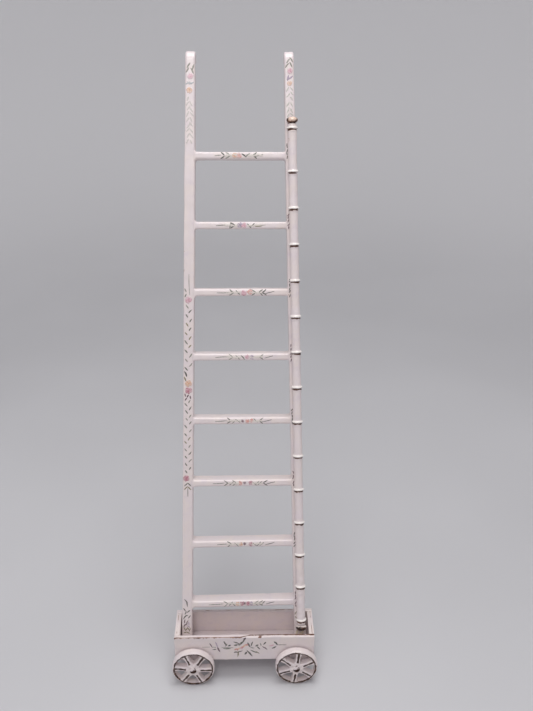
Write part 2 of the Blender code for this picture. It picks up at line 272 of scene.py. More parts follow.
def paint_material(name, grain, gilt=(0.07, 0.30, BROWN_GILT), crevice_shade=0.5):
    """Thick brushed paint, worn on its edges and darkened in its hollows as painted shade. grain is the
    axis that the brush followed.

    The mesh's gilt attribute is the distance in millimetres to the nearest gilded line, and gilt is
    (half the line's width, share of it that is worn away, its colour).
    """
    gilt_width, worn, gilt_colour = gilt
    shade = Shading(name)
    along = {"X": (0.05, 1.0, 1.0), "Z": (1.0, 1.0, 0.05)}[grain]
    clouds = shade.cloud(170.0, 3.0, 0.35, 0.68)
    colour = shade.mix(clouds, WHITE, WARM_WHITE)
    colour = shade.mix(shade.cloud(420.0, 4.0, 0.5, 0.75, 0.0, 0.55), colour, COOL_WHITE)
    streaks = shade.noise(2600.0, 4.0, along)
    colour = shade.mix(shade.remap(streaks, 0.55, 0.80, 0.0, 0.20), colour, CREAM)

    pointiness = shade.add("ShaderNodeNewGeometry").outputs["Pointiness"]
    specks = shade.noise(900.0, 5.0)
    # painted shade: darker in the hollows, where pointiness is low, in speckled patches; the last
    # argument sets how dark
    crevice_shade_share = shade.remap(pointiness, 0.485, 0.40, 0.0, crevice_shade)
    colour = shade.mix(shade.math("MULTIPLY", crevice_shade_share, shade.remap(specks, 0.3, 0.6)), colour, CREVICE_SHADE)
    edge = shade.remap(pointiness, 0.53, 0.62)
    rubbed = shade.math("MULTIPLY", edge, shade.remap(specks, 0.56, 0.66, 0.0, 0.75))
    colour = shade.mix(rubbed, colour, UNDERCOAT)

    distance = shade.math("ABSOLUTE", shade.attribute("gilt").outputs["Fac"], 0.0)
    wander = shade.math("MULTIPLY", shade.cloud(700.0, 3.0, 0.3, 0.7, -1.0, 1.0),
                        min(0.12, 0.6 * gilt_width))
    line = shade.remap(shade.math("ADD", distance, wander), gilt_width, gilt_width + 0.10, 1.0, 0.0)
    left = shade.cloud(260.0, 4.0, 0.28 + 0.3 * worn, 0.40 + 0.3 * worn)
    gilded = shade.math("MULTIPLY", line, left)
    gold = shade.mix(shade.cloud(1500.0, 3.0, 0.50, 0.75, 0.0, 0.40), gilt_colour, OLD_GOLD)
    # painted highlight: near-white on the upper side of the pole's node lips, where the mesh's highlight
    # attribute is set
    thick = shade.attribute("painted_highlight").outputs["Fac"]
    colour = shade.mix(shade.math("MULTIPLY", thick, 0.85), colour, LIP_HIGHLIGHT)
    colour = shade.mix(gilded, colour, gold)

    roughness = shade.remap(shade.noise(500.0, 4.0, along), 0.3, 0.7, 0.30, 0.46)
    lumps = shade.bump(shade.noise(800.0, 3.0), 0.08 * MM, 0.45)
    normal = shade.bump(streaks, 0.03 * MM, 0.45, lumps)
    return shade.finish(colour, roughness, normal, shade.math("MULTIPLY", gilded, 0.3), coat=0.25)


def bead_material(name, painted, direction, low, high, old, bright, shine):
    """Old gilt, lighter on the side that faces a direction: a painted highlight, with the gilt left dark
    elsewhere as painted shade.

    The painted highlight fades in from low to high along the direction. The gilt runs in patches from
    its old colour to its bright one, and shine is how metallic it looks away from the painted highlight.
    """
    shade = Shading(name)
    wander = shade.cloud(700.0, 3.0, 0.3, 0.7, -0.15, 0.15)
    # painted highlight: the light colour on the side facing the direction, where light falls; the rest
    # stays dark gilt as painted shade
    cover = shade.remap(shade.math("ADD", shade.along(direction), wander), low, high)
    gold = shade.mix(shade.cloud(900.0, 4.0, 0.40, 0.70), old, bright)
    colour = shade.mix(cover, gold, painted)
    rough = shade.cloud(1600.0, 4.0, 0.3, 0.7, 0.24, 0.40)
    normal = shade.bump(shade.noise(2200.0, 3.0), 0.04 * MM, 0.5)
    metallic = shade.remap(cover, 0.0, 1.0, shine, 0.1)
    return shade.finish(colour, rough, normal, metallic, coat=0.3)


def axle_material():
    """Bronzed metal: the bronze is the axle's own, the white is the wheel's paint laid only on the upper
    side of each end as a painted highlight, and the bronze below left dark as painted shade.
    """
    shade = Shading("axle_bronze")
    wander = shade.cloud(1100.0, 3.0, 0.3, 0.7, -0.35, 0.35)
    # painted highlight and shade: white on the upper-left side, bare dark bronze on the lower side
    lit_top_share = shade.remap(shade.math("ADD", shade.along((-0.45, 1.0, 0.0)), wander), 0.35, 0.60)
    bronze = shade.mix(shade.cloud(1400.0, 3.0, 0.4, 0.7), srgb(46, 28, 26), srgb(104, 72, 58))
    colour = shade.mix(lit_top_share, bronze, WHITE)
    rough = shade.cloud(1600.0, 4.0, 0.3, 0.7, 0.34, 0.52)
    normal = shade.bump(shade.noise(1500.0, 3.0), 0.08 * MM, 0.6)
    metallic = shade.math("SUBTRACT", 0.8, shade.math("MULTIPLY", lit_top_share, 0.8))
    return shade.finish(colour, rough, normal, metallic)


def pigment_material():
    """Artist's paint: each stroke carries its own colour, uneven as a loaded brush leaves it."""
    shade = Shading("decor_pigment")
    pigment = shade.attribute("pigment").outputs["Color"]
    washed = shade.mix(shade.cloud(1800.0, 3.0, 0.45, 0.75, 0.0, 0.35), pigment, WARM_WHITE)
    colour = shade.mix(shade.cloud(3200.0, 2.0, 0.5, 0.8, 0.0, 0.30), washed,
                       srgb(60, 50, 46))
    roughness = shade.cloud(2500.0, 3.0, 0.3, 0.7, 0.32, 0.50)
    normal = shade.bump(shade.noise(4200.0, 3.0), 0.02 * MM, 0.4)
    return shade.finish(colour, roughness, normal, coat=0.2)


PAINT_X = paint_material("paint_brushed_across", "X", (0.03, 0.62, srgb(150, 114, 90)))
PANEL_PAINT = paint_material("front_panel_paint", "X", (0.10, -0.12, srgb(112, 74, 58)))
PAINT_Z = paint_material("paint_brushed_up", "Z")
PAINT_POLE = paint_material("pole_paint", "Z", (0.20, 0.0, srgb(86, 52, 40)))
# the wheels get a deeper painted shade in their hollows
ENAMEL = paint_material("wheel_enamel", "X", (0.22, 0.02, DARK_GILT), crevice_shade=0.8)
# the top bead's lit front and the bottom bead's lit top are painted highlights, their dark sides painted
# shade
TOP_GILT = bead_material("top_bead_gilt", srgb(236, 208, 190), (0.05, -1.0, 0.45), 0.85, 1.35,
                         srgb(74, 44, 34), srgb(156, 112, 80), 0.7)
FOOT_GILT = bead_material("bottom_bead_gilt", CREAM, (0.0, 0.43, 0.90), -0.02, 0.20,
                          srgb(44, 24, 20), srgb(92, 58, 42), 0.3)
BRONZE = axle_material()
PIGMENT = pigment_material()


# ---- mesh tools ----------------------------------------------------------------------------------
surfaces = {}                 # what the decor is laid on: piece name to its surface, in millimetres


def finished_mesh(name, bm, material):
    """A mesh in metres. Its points remember their own places, which its grain and wear follow."""
    mesh = bpy.data.meshes.new(name)
    bm.to_mesh(mesh)
    bm.free()
    mesh.transform(Matrix.Scale(MM, 4))
    own_place = mesh.attributes.new("own_place", "FLOAT_VECTOR", "POINT")
    for vert, own in zip(mesh.vertices, own_place.data):
        own.vector = vert.co
    mesh.shade_smooth()
    mesh.materials.append(material)
    return mesh


def set_in_scene(name, data):
    made = bpy.data.objects.new(name, data)
    bpy.context.scene.collection.objects.link(made)
    return made


def modified_mesh(piece):
    """What an object's modifiers make of it, as a bmesh."""
    evaluated = piece.evaluated_get(bpy.context.evaluated_depsgraph_get())
    bm = bmesh.new()
    bm.from_mesh(evaluated.to_mesh())
    return bm


def smooth(share):
    """0 below 0 and 1 above 1, with an easy slope between."""
    share = max(0.0, min(1.0, share))
    return share * share * (3 - 2 * share)


def add_piece(name, bm, place, material, body="root", replaced=()):
    """Set a mesh built in millimetres in its place, riding on its body."""
    bmesh.ops.recalc_face_normals(bm, faces=bm.faces)
    surfaces[name] = BVHTree.FromBMesh(bm)
    mesh = finished_mesh(name, bm, material)
    mesh.transform(place.to_3x3().to_4x4())
    piece = set_in_scene(name, mesh)
    piece.location = place.translation * MM
    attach(piece, body)
    if replaced:
        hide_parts(*replaced)


def rounded_outline(half_a, half_b, radius, steps_a, steps_b, corner=4):
    """A rectangle with round corners, as (a, b) points in order, with points along its sides too."""
    radius = min(radius, half_a * 0.98, half_b * 0.98)
    flat_a, flat_b = half_a - radius, half_b - radius
    points = []
    for turn, (ca, cb) in enumerate(((flat_a, flat_b), (-flat_a, flat_b), (-flat_a, -flat_b),
                                     (flat_a, -flat_b))):
        for k in range(corner + 1):
            angle = math.pi / 2 * (turn + k / corner)
            points.append((ca + radius * math.cos(angle), cb + radius * math.sin(angle)))
        end = points[-1]
        steps, change = ((steps_a, (-2 * flat_a, 0.0)), (steps_b, (0.0, -2 * flat_b)),
                         (steps_a, (2 * flat_a, 0.0)), (steps_b, (0.0, 2 * flat_b)))[turn]
        points += [(end[0] + change[0] * k / steps, end[1] + change[1] * k / steps)
                   for k in range(1, steps)]
    return points


def loft(rings):
    """Skin a row of rings with equally many points, and close both ends."""
    bm = bmesh.new()
    rows = [[bm.verts.new(point) for point in ring] for ring in rings]
    count = len(rows[0])
    for low, high in zip(rows, rows[1:]):
        for k in range(count):
            after = (k + 1) % count
            bm.faces.new((low[k], low[after], high[after], high[k]))
    for row in (rows[0], rows[-1]):
        tip = bm.verts.new(sum((v.co for v in row), Vector()) / count)
        for k in range(count):
            bm.faces.new((row[k], row[(k + 1) % count], tip))
    return bm


def turned(profile, segments=40):
    """Spin (radius, height) points about Z; the ends close on the axis."""
    rings = []
    for radius, height in profile:
        rings.append([Vector((radius * math.cos(2 * math.pi * k / segments),
                              radius * math.sin(2 * math.pi * k / segments), height))
                      for k in range(segments)])
    return loft(rings)


def rounded_board(size, radius, step, corner=3):
    """A board with soft edges, centred on its origin, gridded finely enough to be uneven."""
    half = [s / 2 for s in size]
    lines = []
    for h in half:
        flat = h - radius
        count = max(2, round(2 * flat / step))
        row = [-h + radius * k / corner for k in range(corner)]
        row += [-flat + 2 * flat * k / count for k in range(count + 1)]
        row += [flat + radius * k / corner for k in range(1, corner + 1)]
        lines.append(row)
    bm = bmesh.new()
    for axis in range(3):
        a, b = (axis + 1) % 3, (axis + 2) % 3
        for side in (-1, 1):
            grid = []
            for u in lines[a]:
                row = []
                for v in lines[b]:
                    point = [0.0, 0.0, 0.0]
                    point[axis], point[a], point[b] = side * half[axis], u, v
                    core = [max(-(h - radius), min(h - radius, p)) for h, p in zip(half, point)]
                    out = Vector(point) - Vector(core)
                    row.append(bm.verts.new(Vector(core) + out.normalized() * radius))
                grid.append(row)
            for low, high in zip(grid, grid[1:]):
                for k in range(len(low) - 1):
                    bm.faces.new((low[k], low[k + 1], high[k + 1], high[k]))
    bmesh.ops.remove_doubles(bm, verts=bm.verts, dist=0.004)
    return bm


def roughen(bm, seed, *layers):
    """Push the surface in and out: each layer is (height, size of a lump)."""
    bm.normal_update()
    shift = Vector((seed * 17.3, seed * 5.1, seed * 9.7))
    moves = []
    for vert in bm.verts:
        push = sum(height * noise.noise(vert.co / size + shift) for height, size in layers)
        moves.append(vert.normal * push)
    for vert, move in zip(bm.verts, moves):
        vert.co += move


def mark_gilt(bm, distance):
    """Store each point's distance to the nearest gilded line, in millimetres.

    Its sign is the side of the line, so that the distance runs evenly across it.
    """
    layer = bm.verts.layers.float.new("gilt")
    for vert in bm.verts:
        vert[layer] = distance(vert.co)


def mark_painted_highlight(bm, share):
    """Store how strongly the painted highlight lies at each point, from 0 to 1."""
    layer = bm.verts.layers.float.new("painted_highlight")
    for vert in bm.verts:
        vert[layer] = share(vert.co)


def fused(bm, voxel, smoothing):
    """Melt overlapping solids into one casting."""
    mesh = bpy.data.meshes.new("rough_casting")
    bm.to_mesh(mesh)
    bm.free()
    rough = set_in_scene("rough_casting", mesh)
    remesh = rough.modifiers.new("melt", "REMESH")
    remesh.mode = "VOXEL"
    remesh.voxel_size = voxel
    cast = modified_mesh(rough)
    bpy.data.objects.remove(rough)
    for _ in range(smoothing):
        bmesh.ops.smooth_vert(cast, verts=cast.verts, factor=0.5, use_axis_x=True, use_axis_y=True,
                              use_axis_z=True)
    return cast


def far_from_gilt(point):
    return NO_GILT


# ---- trolley ---------------------------------------------------------------------------------------
def add_board(name, size, place, gilt, seed, material=PAINT_X):
    board = rounded_board(size, BOARD_EDGE, 0.45)
    roughen(board, seed, (0.09, 5.0), (0.035, 1.1))
    mark_gilt(board, gilt)
    bmesh.ops.translate(board, verts=board.verts, vec=place)
    add_piece(name, board, TROLLEY, material, replaced=(name[:-len("_looks")],))


def build_trolley():
    """Five boards: the front and back cover the ends, and the floor lies inside all four."""
    middle_z = (BOX_TOP + BOX_BOTTOM) / 2
    top = BOX_HEIGHT / 2
    inside_y = BOX_DEPTH - 2 * WALL - 2 * SEAM
    inside_x = BOX_WIDTH - 2 * END_WALL - 2 * SEAM
    end_x = BOX_WIDTH / 2 - END_WALL / 2

    def top_line(offset, along):
        """Distance to a line drawn along the top edge, offset from the board's middle."""
        def distance(point):
            across = (point.y if along == "X" else point.x) - offset
            return math.copysign(math.hypot(across, 0.5 * max(0.0, top - 0.3 - point.z)), across)
        return distance

    def front_line(point):
        """Along the front edge on the left, along the back edge on the right, with one chip."""
        front_edge, to_back_edge, crossing, crossing_length = -0.52, 0.86, -1.5, 4.0
        chip_x, chip_y, chip_length, chip_size = 4.9, -0.60, 2.2, 0.10
        share = smooth((point.x - crossing) / crossing_length)
        across = point.y - (front_edge + to_back_edge * share)
        chip = math.hypot((point.x - chip_x) / chip_length, point.y - chip_y, point.z - top + 0.1)
        heavy = 1.0 - 0.35 * smooth(point.x / 3.0) - 0.20 * smooth((point.x - 12.0) / 6.0)
        line = heavy * math.hypot(across, 0.5 * max(0.0, top - 0.35 - point.z))
        return math.copysign(min(line, max(0.0, chip - chip_size)), across)

    add_board("trolley_front_panel_looks", (BOX_WIDTH, WALL, BOX_HEIGHT), (0.0, WALL / 2, middle_z),
              front_line, 1, PANEL_PAINT)
    add_board("trolley_back_panel_looks", (BOX_WIDTH, WALL, BOX_HEIGHT),
              (0.0, BOX_DEPTH - WALL / 2, middle_z), top_line(0.1, "X"), 2)
    for side, sign in (("left", -1), ("right", 1)):
        add_board("trolley_%s_end_looks" % side, (END_WALL, inside_y, BOX_HEIGHT),
                  (sign * end_x, BOX_DEPTH / 2, middle_z), top_line(sign * 0.15, "Y"), 3 + sign)
    add_board("trolley_floor_looks", (inside_x, inside_y, WALL),
              (0.0, BOX_DEPTH / 2, BOX_BOTTOM + WALL / 2), far_from_gilt, 6)


# ---- axles, blocks and wheels ------------------------------------------------------------------------
def axle_line(side):
    """The middle of an axle, under the box."""
    wheel = middle("wheel_front_" + side)
    return Vector((wheel.x, PANEL_LOW.y + BOX_DEPTH / 2, wheel.z))


def build_axle(side):
    low, high = corners("axle_" + side)
    half = (high.y - low.y) / 2
    shoulder = half - AXLE_HEAD
    dome = [(AXLE_HEAD_RADIUS * math.sin(math.pi / 2 * k / 6),
             shoulder + AXLE_HEAD * (0.35 + 0.65 * math.cos(math.pi / 2 * k / 6)))
            for k in range(6, 0, -1)]
    head = [(AXLE_RADIUS, shoulder - 0.01), (AXLE_HEAD_RADIUS - 0.04, shoulder)] + dome
    foot = [(r, -h) for r, h in reversed(head)]
    steps = 24
    rod = [(AXLE_RADIUS, -shoulder + 2 * shoulder * k / steps) for k in range(1, steps)]
    axle = turned(foot + rod + head, 28)
    roughen(axle, 21 if side == "left" else 22, (0.03, 0.5))
    turn = Matrix.Translation(axle_line(side)) @ Matrix.Rotation(math.pi / 2, 4, "X")
    add_piece("axle_%s_looks" % side, axle, turn, BRONZE,
              replaced=("axle_" + side,))


def build_axle_block(side):
    """A painted block under the floor, with the axle's bore through it."""
    low, high = corners("axle_block_" + side)
    size = high - low
    block = rounded_board((size.x, size.y, size.z + JOINT_GAP), 0.35, 0.4)
    roughen(block, 31, (0.06, 2.5), (0.02, 0.8))
    lift = (low.z + high.z + JOINT_GAP) / 2 - axle_line(side).z
    bmesh.ops.translate(block, verts=block.verts, vec=(0.0, 0.0, lift))
    bore = turned([(BORE_RADIUS, -size.y), (BORE_RADIUS, size.y)], 32)
    bmesh.ops.rotate(bore, verts=bore.verts, matrix=Matrix.Rotation(math.pi / 2, 3, "X"))
    solids = []
    for bm in (block, bore):
        bmesh.ops.recalc_face_normals(bm, faces=bm.faces)
        mesh = bpy.data.meshes.new("solid")
        bm.to_mesh(mesh)
        bm.free()
        solids.append(set_in_scene("solid", mesh))
    cut = solids[0].modifiers.new("bore", "BOOLEAN")
    cut.operation = "DIFFERENCE"
    cut.object = solids[1]
    bored = modified_mesh(solids[0])
    for solid in solids:
        bpy.data.objects.remove(solid)
    mark_gilt(bored, far_from_gilt)
    add_piece("axle_block_%s_looks" % side, bored, Matrix.Translation(axle_line(side)), PAINT_X,
              replaced=("axle_block_" + side,))


def spoke_front(radius):
    """How far forward a spoke's front edge stands at a distance from the axle."""
    hub_edge, rim_edge = HUB_RADIUS * 1.7, WHEEL_RADIUS - RIM_WALL
    share = max(0.0, min(1.0, (radius - hub_edge) / (rim_edge - hub_edge)))
    nose = max(0.0, (hub_edge - radius) / hub_edge)
    return -(1.33 - 0.25 * share + 0.12 * nose)


def spoke_rings():
    """A deep blade along +X that swells where it meets the hub and the rim."""
    rings = []
    inner, outer = HUB_RADIUS * 0.8, WHEEL_RADIUS - RIM_WALL * 0.55
    back = RIM_WIDTH / 2 - 0.15
    count = 12
    for k in range(count + 1):
        share = k / count
        x = inner + (outer - inner) * share
        front = spoke_front(x)
        swell = 0.74 + 0.56 * abs(2 * share - 1) ** 2.2
        profile = rounded_outline((back - front) / 2, swell, 0.26, 4, 2, 3)
        centre = (back + front) / 2
        rings.append([Vector((x, centre + a, b)) for a, b in profile])
    return rings


def rim_outline():
    """The rim's section, as (radius, y) points; its outer front edge is rounded right off."""
    half = RIM_WIDTH / 2
    inner = WHEEL_RADIUS - RIM_WALL - 0.12
    off, deep = 0.58, 0.85
    front = [(WHEEL_RADIUS - off * (1 - math.cos(math.pi / 2 * k / 8)),
              -half + deep * (1 - math.sin(math.pi / 2 * k / 8))) for k in range(9)]
    return front + [(inner + 0.04, -half), (inner, -half + 0.08), (inner, half - 0.1),
                    (inner + 0.1, half), (WHEEL_RADIUS - 0.2, half), (WHEEL_RADIUS, half - 0.2)]


def append_mesh(bm, other, turn=None):
    """Add another bmesh's surface to bm, turned if asked."""
    mesh = bpy.data.meshes.new("part")
    bmesh.ops.recalc_face_normals(other, faces=other.faces)
    other.to_mesh(mesh)
    other.free()
    if turn is not None:
        mesh.transform(turn)
    bm.from_mesh(mesh)
    bpy.data.meshes.remove(mesh)


def ring_solid(outline, segments=96):
    """Turn a closed (radius, y) outline about the Y axis into a ring."""
    bm = bmesh.new()
    rows = []
    for k in range(segments):
        angle = 2 * math.pi * k / segments
        rows.append([bm.verts.new((r * math.cos(angle), y, r * math.sin(angle))) for r, y in outline])
    for k in range(segments):
        row, after = rows[k], rows[(k + 1) % segments]
        for m in range(len(outline)):
            n = (m + 1) % len(outline)
            bm.faces.new((row[m], row[n], after[n], after[m]))
    return bm


def build_wheel(end, side, seed):
    """Rim, six spokes and hub in one rough casting, with gilded lines on its front."""
    half = RIM_WIDTH / 2
    hub_middle = (HUB_RADIUS + BORE_RADIUS) / 2
    hub = [(hub_middle + a, (HUB_TAIL - HUB_NOSE) / 2 + b)
           for a, b in rounded_outline((HUB_RADIUS - BORE_RADIUS) / 2, (HUB_TAIL + HUB_NOSE) / 2,
                                       0.15, 2, 6)]
    casting = bmesh.new()
    append_mesh(casting, ring_solid(rim_outline()))
    append_mesh(casting, ring_solid(hub, 48))
    boss_middle, boss_half = (HUB_BOSS + BORE_RADIUS) / 2, (HUB_BOSS - BORE_RADIUS) / 2
    boss = [(boss_middle + a, b - 0.20) for a, b in rounded_outline(boss_half, 1.22, 0.52, 2, 6)]
    append_mesh(casting, ring_solid(boss, 48))
    for k in range(SPOKES):
        append_mesh(casting, loft(spoke_rings()), Matrix.Rotation(-2 * math.pi * k / SPOKES, 4, "Y"))
    casting = fused(casting, 0.11, 4)
    roughen(casting, seed, (0.07, 1.6), (0.035, 0.55))
    shift = Vector((seed * 3.1, 0.0, 0.0))
    for vert in casting.verts:                       # the hub came out of its mould with lumps
        radius = math.hypot(vert.co.x, vert.co.z)
        near_hub = smooth((2.6 - radius) / 1.0) * smooth((-vert.co.y - 0.7) / 0.5)
        vert.co.y -= 0.45 * near_hub * noise.noise(vert.co / 0.85 + shift)
    for vert in casting.verts:                       # a cast wheel still rolls true
        radius = math.hypot(vert.co.x, vert.co.z)
        limit = (WHEEL_RADIUS - 0.01) / radius if radius > 0.1 else 9.0
        slack = (BORE_RADIUS - 0.02) / radius if abs(radius - BORE_RADIUS) < 0.12 else 0.0
        scale = max(slack, min(1.0, limit))
        vert.co.x *= scale
        vert.co.z *= scale

    def gilt_distance(point):
        """One line round the rim's front, and one along the front edge of each spoke."""
        radius = math.hypot(point.x, point.z)
        rim_line = 0.902 * WHEEL_RADIUS
        if radius > WHEEL_RADIUS * 0.86 and point.y < -half + 0.45:
            return abs(radius - rim_line)
        if HUB_BOSS * 1.12 < radius and point.y < spoke_front(radius) + 0.30:
            turn = math.atan2(point.z, point.x) * SPOKES / (2 * math.pi)
            return radius * abs(math.sin((turn - round(turn)) * 2 * math.pi / SPOKES)) * 0.9
        return NO_GILT

    mark_gilt(casting, gilt_distance)
    name = "wheel_%s_%s" % (end, side)
    low, high = corners(name)
    place = middle(name)
    place.y = low.y + HUB_NOSE if end == "front" else high.y - HUB_NOSE
    facing = 0.0 if end == "front" else math.pi
    phase = -math.radians(SPOKE_PHASE[end + "_" + side])
    turn = Matrix.Translation(place) @ Matrix.Rotation(facing, 4, "Z") @ Matrix.Rotation(phase, 4, "Y")
    add_piece(name + "_looks", casting, turn, ENAMEL, name, (name,))


# ---- rails, with their hooks -------------------------------------------------------------------------
def rail_stations():
    """The rail's front and back points, (depth, height) each, from its foot to the hook's tip."""
    floor_top = corners("trolley_floor")[1].z
    foot = floor_top + JOINT_GAP / 2 - BOX_TOP
    foot_front = foot / math.cos(LEAN)
    foot_back = (foot + RAIL_DEPTH * math.sin(LEAN)) / math.cos(LEAN)
    stations = []
    squared = 5.0                                # the cut foot is level; above it rings are square
    for share in (0.0, 0.25, 0.5, 0.75, 1.0):
        back = foot_back + (foot_front + squared - foot_back) * share
        stations.append(((0.0, foot_front + squared * share), (RAIL_DEPTH, back)))
    height = foot_front + squared
    while height < RAIL_TOP - 2.0:
        height += 0.62
        stations.append(((0.0, height), (RAIL_DEPTH, height)))
    neck_low, neck_high = height, RAIL_TOP + 1.2
    for k in range(1, 13):
        share = k / 12
        level = neck_low + (neck_high - neck_low) * share
        depth = RAIL_DEPTH + (HOOK_BAND - RAIL_DEPTH) * smooth(share)
        stations.append(((0.0, level), (depth, level + 0.35 * math.sin(math.pi * share))))
    between = (neck_high + HOOK_CENTRE) / 2
    stations.append(((0.0, between), (HOOK_BAND, between)))
    steps = 34
    for k in range(steps + 1):
        angle = math.pi + (HOOK_TIP_ANGLE - math.pi) * k / steps
        turn = (math.cos(angle), math.sin(angle))
        stations.append(tuple((HOOK_RADIUS + r * turn[0], HOOK_CENTRE + r * turn[1])
                              for r in (HOOK_RADIUS, HOOK_RADIUS - HOOK_BAND)))
    return stations


def rail_width(height):
    """The rails are planed a little slimmer towards their hooks."""
    return RAIL_WIDTH - 0.30 * smooth((height - 140.0) / 32.0)


def build_rail(side, seed):
    rings = []
    stations = rail_stations()
    for k, (front, back) in enumerate(stations):
        front, back = Vector((0.0, *front)), Vector((0.0, *back))
        centre = (front + back) / 2
        across = (back - front) / 2
        left = len(stations) - 1 - k                 # stations to the hook's tip, which is rounded
        narrow = math.sqrt(max(0.0, 1 - ((4 - left) / 4.6) ** 2)) if left < 4 else 1.0
        if k < 2:
            narrow = (0.86, 0.97)[k]
        half_width = rail_width(front.z) / 2 * narrow
        half_depth = across.length * narrow
        soft = 0.42 if front.z < RAIL_TOP - 2 else 0.55
        outline = rounded_outline(half_width, half_depth, soft * narrow, 7, 10)
        rings.append([centre + Vector((a, 0.0, 0.0)) + across.normalized() * b for a, b in outline])
    rail = loft(rings)
    roughen(rail, seed, (0.10, 9.0), (0.05, 2.2), (0.022, 0.8))
    mark_gilt(rail, far_from_gilt)
    add_piece("rail_%s_looks" % side, rail, RAILS[side], PAINT_Z,
              replaced=("rail_" + side, "hook_" + side))


# ---- treads ----------------------------------------------------------------------------------------
SLIPS = {1: 0.9, 2: 0.5}          # degrees that a tread's left end was glued too low
RUNS = {1: {(-1, 1): 1.0, (-1, -1): 0.9}, 2: {(-1, 1): 0.9, (-1, -1): 1.1}, 6: {(-1, -1): 1.3},
        7: {(-1, 1): 0.9}}        # runs of paint at a tread's ends: (end, under or over) to radius


def tread_place(number):
    """The ladder's frame, turned a little about the tread's middle where it was glued askew."""
    height = tread_height(number)
    turn = Matrix.Rotation(-math.radians(SLIPS.get(number, 0.0)), 4, "Y")
    up, down = Matrix.Translation((0.0, 0.0, height)), Matrix.Translation((0.0, 0.0, -height))
    return LADDER @ up @ turn @ down


def build_tread(number):
    """A flat board whose paint climbs into a fillet at each rail."""
    chance = random.Random(number * 31)
    height = tread_height(number)
    reach = INNER_HALF_WIDTH - height * math.tan(RAIL_TAPER) + SUNK
    fillets = {(end, rim): chance.uniform(0.30, 0.75) for end in (-1, 1) for rim in (-1, 1)}
    fillets.update(RUNS.get(number, {}))
    places = [reach - 1.6 * (1 - math.cos(math.pi / 2 * k / 9)) for k in range(10)]
    flat = reach - 1.6
    count = 44
    row = [-p for p in places] + [-flat + 2 * flat * k / count for k in range(1, count)]
    row += list(reversed(places))
    rings = []
    for x in row:
        end = -1 if x < 0 else 1
        gap = reach - SUNK - abs(x)
        grow = {}
        for rim in (-1, 1):
            radius = fillets[(end, rim)]
            inside = max(0.0, radius - max(0.0, gap))
            grow[rim] = radius - math.sqrt(max(0.0, radius * radius - inside * inside))
        outline = rounded_outline(TREAD_DEPTH / 2, TREAD_THICKNESS / 2, TREAD_EDGE, 9, 4)
        ring = []
        for a, b in outline:
            rim = 1 if b > 0 else -1
            climb = rim * grow[rim] * min(1.0, abs(b) / (TREAD_THICKNESS / 2 - TREAD_EDGE))
            ledge = 0.14 * smooth((a - TREAD_DEPTH / 2 + 0.9) / 0.45) if b > 0 else 0.0
            ring.append(Vector((x, TREAD_BACK + a, height + b + climb + ledge)))
        rings.append(ring)
    tread = loft(rings)
    roughen(tread, 40 + number, (0.08, 7.0), (0.045, 1.6), (0.02, 0.6))
    mark_gilt(tread, far_from_gilt)
    name = "tread_%d" % number
    add_piece(name + "_looks", tread, tread_place(number), PAINT_X,
              replaced=(name,))


# ---- handrail pole -----------------------------------------------------------------------------------
def node_heights():
    drifts = [-NODE_DRIFT * math.sin(2 * math.pi * k / NODE_COUNT) for k in range(NODE_COUNT)]
    regular = [NODE_BASE + k * NODE_PITCH + drifts[k] for k in range(NODE_COUNT)]
    return [END_NODES[0] + END_LIP] + regular + [END_NODES[1] - END_LIP]


def pole_radius(offset):
    """The cane's radius at a height above a node: a full lip above, a groove, then a slimmer lip."""
    lip = 0.36 * math.exp(-((offset - 0.22) / 0.33) ** 2)
    ledge = 0.12 * math.exp(-((offset + 0.62) / 0.26) ** 2)
    groove = 0.14 * math.exp(-((offset + 0.27) / 0.13) ** 2)
    return lip + ledge - groove


def build_pole():
    heights = node_heights()
    bottom, top = END_NODES[0] - NODE_HEIGHT, END_NODES[1] + NODE_HEIGHT
    profile = [(POLE_RADIUS * 0.6, bottom), (POLE_RADIUS * 0.85, bottom + 0.05)]
    step, level = 0.11, bottom + 0.12
    while level < top - 0.15:
        nearest = min(heights, key=lambda h: abs(h - level))
        near = abs(level - nearest) < 1.3
        between = 0.035 * math.cos(2 * math.pi * (level - nearest) / NODE_PITCH)
        profile.append((POLE_RADIUS * 0.97 + between + pole_radius(level - nearest), level))
        level += step if near else 0.6
    profile += [(POLE_RADIUS * 0.85, top - 0.05), (POLE_RADIUS * 0.6, top)]
    pole = turned(profile)
    roughen(pole, 61, (0.10, 4.0), (0.04, 1.0), (0.015, 0.4))
    for vert in pole.verts:                          # the paint ran down and lies lumpier near the foot
        lumpy = 0.11 * smooth((34.0 - vert.co.z) / 24.0)
        vert.co += Vector((vert.co.x, vert.co.y, 0.0)) * lumpy * noise.noise(vert.co / 1.4)

    def gilt_distance(point):
        nearest = min(heights, key=lambda h: abs(h - point.z))
        return abs(point.z - nearest + 0.30)

    # painted highlight: a near-white band just above each node, on its lip
    def lip(point):
        nearest = min(heights, key=lambda h: abs(h - point.z))
        return smooth(1.25 - abs(point.z - nearest - 0.32) / 0.36)

    mark_gilt(pole, gilt_distance)
    mark_painted_highlight(pole, lip)
    depth = -(NODE_RADIUS + JOINT_GAP) + 0.22
    place = RAILS["right"] @ Matrix.Translation((POLE_OFFSET, depth, 0.0))
    add_piece("handrail_pole_looks", pole, place, PAINT_POLE,
              replaced=("handrail_pole",))


